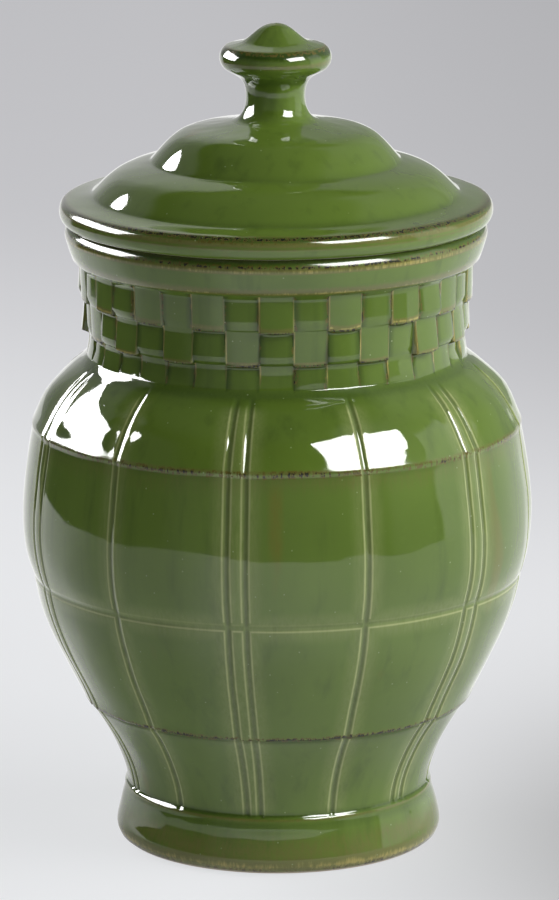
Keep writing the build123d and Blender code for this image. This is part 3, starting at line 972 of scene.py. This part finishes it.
def table_paper(name, settings):
    """Pale paper with painted fall-off of light, light near the jar and greyer at the back, painted shade
    towards the right back, and a painted shadow in a soft patch at the jar's right, which falls off as
    exp(-side^2 - ahead^2). It glows with these colours, mostly when seen straight, which keeps shadows faint,
    and in part for other rays that are not glossy, so it also lights the jar. In the glaze it glows as a
    round pale table, with painted shade beside the foot and dimmer at the left, with the room's floor beyond
    it."""
    material = bpy.data.materials.new(name)
    material.use_nodes = True
    bench = Bench(material.node_tree)
    place = bench.node("ShaderNodeTexCoord", out=3)
    x, y, _ = bench.parts(place)
    grain = bench.noise(place, 9.0, 3.0)
    # Painted fall-off of light: the paper greys towards the back and the right.
    share = bench.between(y + 0.9 * x, 0.2, 1.15)
    colour = bench.blend(share, settings.table_near, settings.table_far_shade)
    # Painted shadow of the jar: a soft grey patch at its right.
    side = (x - SHADOW_PLACE[0]) / SHADOW_SPREAD[0]
    ahead = (y - SHADOW_PLACE[1]) / SHADOW_SPREAD[1]
    painted_shadow = bench.math("EXPONENT", 0.0 - side * side - ahead * ahead)
    colour = bench.blend(1.1 * painted_shadow, colour, SHADOW_GREY)
    # Painted shade: the paper greyer towards the right back.
    right = bench.between(x, -0.1, 0.25) * bench.between(y, 0.3, 0.9)
    colour = bench.blend(0.27 * right, colour, RIGHT_SHADE_GREY)
    colour = bench.blend(0.04 * grain, colour, GRAIN_GREY)
    matt = {"Base Color": colour, "Roughness": 0.6, "Specular IOR Level": 0.0}
    lit = bench.node("ShaderNodeBsdfPrincipled", {}, matt)

    away = bench.math("SQRT", x * x + y * y)
    reach = y / away + 0.75 * bench.between(x / away, -0.3, 0.3)
    beyond = bench.between(away, TABLE_R - 0.03, TABLE_R + 0.04)
    beyond = beyond * (1 - bench.between(reach, 0.68, 0.76))
    floor = room_level(bench, y / away, x / away, 0.0)
    left = (x * DIM_WAY[0] + y * DIM_WAY[1]) / away
    # Painted shade on the table seen in the glaze: dimmer beside the foot, and dimmer towards the left.
    reflected_table_shade = (0.65 + 0.35 * bench.between(away, 0.09, 0.2)) * (1 - 0.4 * bench.between(left, 0.75, 0.98))
    level = settings.table_gloss * reflected_table_shade * (1 - beyond) + beyond * floor
    tint = bench.node("ShaderNodeCombineColor", {}, {0: level, 1: level, 2: level})
    seen = bench.node("ShaderNodeLightPath", out=0)
    # The paper glows with its painted colours: 78 in 100 when seen straight, 30 in 100 for other rays that
    # are not glossy.
    even = {0: 0.3 + 0.48 * seen, 1: lit, 2: glowing(bench, colour)}
    straight = bench.node("ShaderNodeMixShader", {}, even)
    gloss = bench.node("ShaderNodeLightPath", out=3)
    mixed = bench.node("ShaderNodeMixShader", {}, {0: gloss, 1: straight, 2: glowing(bench, tint)})
    bench.node("ShaderNodeOutputMaterial", {}, {"Surface": mixed})
    return material


def flat_sheet(name, reach, material):
    """A level square about the origin: every point is (x, y, 0)."""
    mesh = bpy.data.meshes.new(name)
    corners = [(-reach, -reach, 0.0), (reach, -reach, 0.0), (reach, reach, 0.0), (-reach, reach, 0.0)]
    mesh.from_pydata(corners, [], [(0, 1, 2, 3)])
    mesh.materials.append(material)
    sheet = bpy.data.objects.new(name, mesh)
    bpy.context.scene.collection.objects.link(sheet)
    return sheet


def build_room(settings):
    """World: an even soft light for matt surfaces, one grey for the camera, and for the glaze a room with a
    bright wall on the right, paler walls behind and at the left, and darkness in front and overhead."""
    world = bpy.data.worlds.new("studio")
    bpy.context.scene.world = world
    world.use_nodes = True
    bench = Bench(world.node_tree)
    x, y, z = bench.parts(bench.node("ShaderNodeTexCoord", out=0))
    path_camera = bench.node("ShaderNodeLightPath", out=0)
    path_gloss = bench.node("ShaderNodeLightPath", out=3)
    room = room_level(bench, y, x, z)
    shown = bench.math("MAXIMUM", BACKDROP_LEVEL * path_camera, path_gloss * room)
    level = shown + (1 - bench.math("MAXIMUM", path_camera, path_gloss)) * settings.ambient
    back = bench.node("ShaderNodeBackground", {}, {"Color": (1.0, 1.0, 1.0, 1.0), "Strength": level})
    bench.node("ShaderNodeOutputWorld", {}, {"Surface": back})


def build_stage(settings):
    build_camera()
    build_room(settings)
    flat_sheet("table", SHEET_REACH, table_paper("table_paper", settings))
    for name, azimuth, elevation, distance, size, level, gloss in LAMPS:
        lamp(name, azimuth, elevation, distance, size, getattr(settings, level), gloss)
    bpy.context.scene.view_settings.view_transform = "Standard"


# Settings, operators and panel


def number_setting(name, description, default, low, high):
    return FloatProperty(name=name, description=description, default=default, min=low, max=high)


def colour_setting(name, description, default):
    kind = {"subtype": "COLOR", "size": 3, "min": 0.0, "max": 1.0}
    return FloatVectorProperty(name=name, description=description, default=default, **kind)


class JarShapeSettings(bpy.types.PropertyGroup):
    line_depth: number_setting("Line depth", "Depth of the incised lines, mm", 0.42, 0.0, 1.5)
    panel_swell: number_setting("Panel swell", "Rise of each panel between its lines, mm", 0.4, 0.0, 1.0)
    shoulder_swell: number_setting("Shoulder swell", "More rise above the shoulder ridge, mm", 0.6, 0.0, 1.5)
    unevenness: number_setting("Unevenness", "Softness of the hand-turned wall, mm", 0.18, 0.0, 0.5)
    block_top: number_setting("Block top", "Rise of a woven block at its top, mm", -0.75, -1.0, 2.0)
    block_edge: number_setting("Block edge", "Rise of a woven block at its lower edge, mm", 1.2, 0.0, 2.5)
    fine_rows: number_setting("Rows per mm", "Rows of faces per mm on plain wall", 0.27, 0.1, 1.0)


class JarGlazeSettings(bpy.types.PropertyGroup):
    green: colour_setting("Green", "Glaze of ordinary thickness", (0.0905, 0.150, 0.018))
    leaf: colour_setting("Leaf green", "Glaze a little thinner", (0.112, 0.180, 0.025))
    # Dark green of pooled glaze, also used as painted shade.
    deep_and_shade: colour_setting("Deep green", "Glaze that has pooled", (0.034, 0.065, 0.009))
    burr: colour_setting("Burr", "Glaze on the raised edge of a line", (0.330, 0.370, 0.150))
    olive: colour_setting("Olive", "Glaze thin over an edge", (0.140, 0.150, 0.035))
    tan: colour_setting("Tan", "Glaze thinnest over an edge", (0.360, 0.310, 0.090))
    brown: colour_setting("Brown", "Iron showing at an edge", (0.118, 0.100, 0.020))
    iron: colour_setting("Iron", "Darkest specks at an edge", (0.015, 0.019, 0.005))
    stain: colour_setting("Stain", "Faint upright brown stains", (0.160, 0.130, 0.020))
    drip: colour_setting("Drip", "Orange brown stain at the front", (0.200, 0.120, 0.015))
    speck: colour_setting("Speck", "Pale pinholes", (0.350, 0.420, 0.220))
    clay: colour_setting("Clay", "Bare stoneware", (0.620, 0.520, 0.400))
    clay_dark: colour_setting("Dark clay", "Darker grains of bare stoneware", (0.430, 0.330, 0.230))


class JarStageSettings(bpy.types.PropertyGroup):
    table_near: colour_setting("Table near", "Table beside the jar", (0.86, 0.87, 0.89))
    # Paper far behind the jar, greyed as painted fall-off of light.
    table_far_shade: colour_setting("Table far", "Table far behind", (0.64, 0.64, 0.665))
    ambient: number_setting("Ambient", "Even light on matt surfaces", 0.04, 0.0, 2.0)
    side_lamp: number_setting("Side lamp", "Light of the wide lamp at the right", 1.0, 0.0, 3.0)
    right_lamp: number_setting("Right lamp", "Light of the right lamp", 0.34, 0.0, 3.0)
    left_lamp: number_setting("Left lamp", "Light of the left lamp", 0.35, 0.0, 3.0)
    table_gloss: number_setting("Table in glaze", "Brightness of the table in the glaze", 1.15, 0.0, 2.0)
    panel_level: number_setting("Panels", "Brightness of the panels in the glaze", 24.0, 0.0, 60.0)


class JARSHOP_OT_jar_body(bpy.types.Operator):
    """Jar body with its lines, ridges and woven neck band"""

    bl_idname = "jarshop.jar_body"
    bl_label = "Jar body"

    def execute(self, context):
        piece = build_jar(context.scene.jar_shape)
        colours = context.scene.jar_glaze
        piece.data.materials.append(glaze("jar_glaze", colours, (0.0, 0.0, 0.0), lined=True))
        return {"FINISHED"}


class JARSHOP_OT_lid(bpy.types.Operator):
    """Lid with its two-step dome, flange and skirt"""

    bl_idname = "jarshop.lid"
    bl_label = "Lid"

    def execute(self, context):
        piece = build_lid(context.scene.jar_shape)
        colours = context.scene.jar_glaze
        # Paler green on the lid: painted light on its up-facing surfaces.
        piece.data.materials.append(glaze("lid_glaze", colours, (0.4, 0.1, 0.3), painted_light=0.12))
        return {"FINISHED"}


class JARSHOP_OT_knob(bpy.types.Operator):
    """Turned knob on top of the lid"""

    bl_idname = "jarshop.knob"
    bl_label = "Knob"

    def execute(self, context):
        piece = build_knob(context.scene.jar_shape)
        colours = context.scene.jar_glaze
        # Paler green on the knob: painted light on its up-facing surfaces, as on the lid.
        piece.data.materials.append(glaze("knob_glaze", colours, (0.9, 0.5, 0.2), painted_light=0.15))
        return {"FINISHED"}


class JARSHOP_OT_stage(bpy.types.Operator):
    """Camera, table, lamps and room"""

    bl_idname = "jarshop.stage"
    bl_label = "Stage"

    def execute(self, context):
        build_stage(context.scene.jar_stage)
        return {"FINISHED"}


class JARSHOP_PT_panel(bpy.types.Panel):
    bl_label = "Biscuit Jar"
    bl_idname = "JARSHOP_PT_panel"
    bl_space_type = "VIEW_3D"
    bl_region_type = "UI"
    bl_category = "Biscuit Jar"

    def draw(self, context):
        for group in (context.scene.jar_shape, context.scene.jar_glaze, context.scene.jar_stage):
            box = self.layout.box()
            for key in group.__annotations__:
                box.prop(group, key)
        for operator in (JARSHOP_OT_jar_body, JARSHOP_OT_lid, JARSHOP_OT_knob, JARSHOP_OT_stage):
            self.layout.operator(operator.bl_idname)


CLASSES = (
    JarShapeSettings,
    JarGlazeSettings,
    JarStageSettings,
    JARSHOP_OT_jar_body,
    JARSHOP_OT_lid,
    JARSHOP_OT_knob,
    JARSHOP_OT_stage,
    JARSHOP_PT_panel,
)


def register():
    for item in CLASSES:
        bpy.utils.register_class(item)
    bpy.types.Scene.jar_shape = PointerProperty(type=JarShapeSettings)
    bpy.types.Scene.jar_glaze = PointerProperty(type=JarGlazeSettings)
    bpy.types.Scene.jar_stage = PointerProperty(type=JarStageSettings)


def unregister():
    del bpy.types.Scene.jar_stage
    del bpy.types.Scene.jar_glaze
    del bpy.types.Scene.jar_shape
    for item in reversed(CLASSES):
        bpy.utils.unregister_class(item)


def main():
    register()
    bpy.ops.jarshop.jar_body()
    bpy.ops.jarshop.lid()
    bpy.ops.jarshop.knob()
    bpy.ops.jarshop.stage()


if __name__ == "__main__":
    main()
